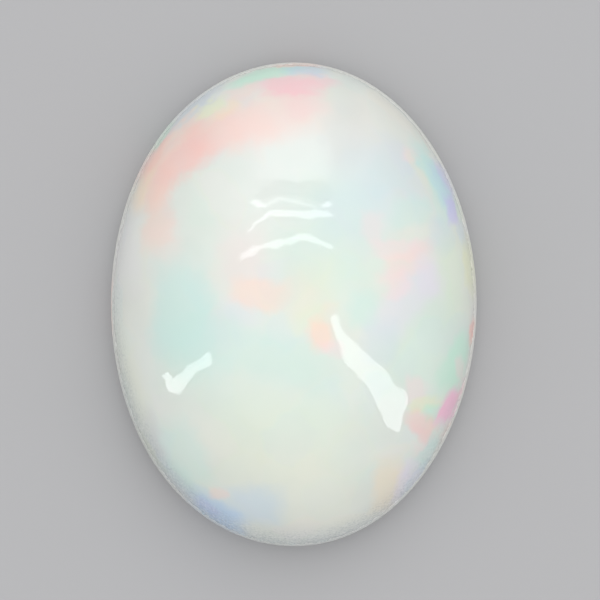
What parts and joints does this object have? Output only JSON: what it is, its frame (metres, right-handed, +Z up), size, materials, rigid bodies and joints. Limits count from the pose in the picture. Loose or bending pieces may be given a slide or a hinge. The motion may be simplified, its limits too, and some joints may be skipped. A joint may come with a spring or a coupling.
{
  "type": "opal cabochon",
  "caption": "Oval opal cabochon, milky white with pastel play-of-colour: high polished dome, slim girdle, bevelled back edge and flat back.",
  "frame": {"origin": "centre of the flat back", "axes": "+Z up from the flat back through the top of the dome, +Y along the oval's long axis, +X across it"},
  "size_m": [0.012, 0.016, 0.0056],
  "materials": {
    "milky_opal": "polished dome with pastel flashes of colour in a milky white body, satin girdle and back"
  },
  "bodies": {
    "root": {"opal": "milky_opal"}
  },
  "joints": []
}
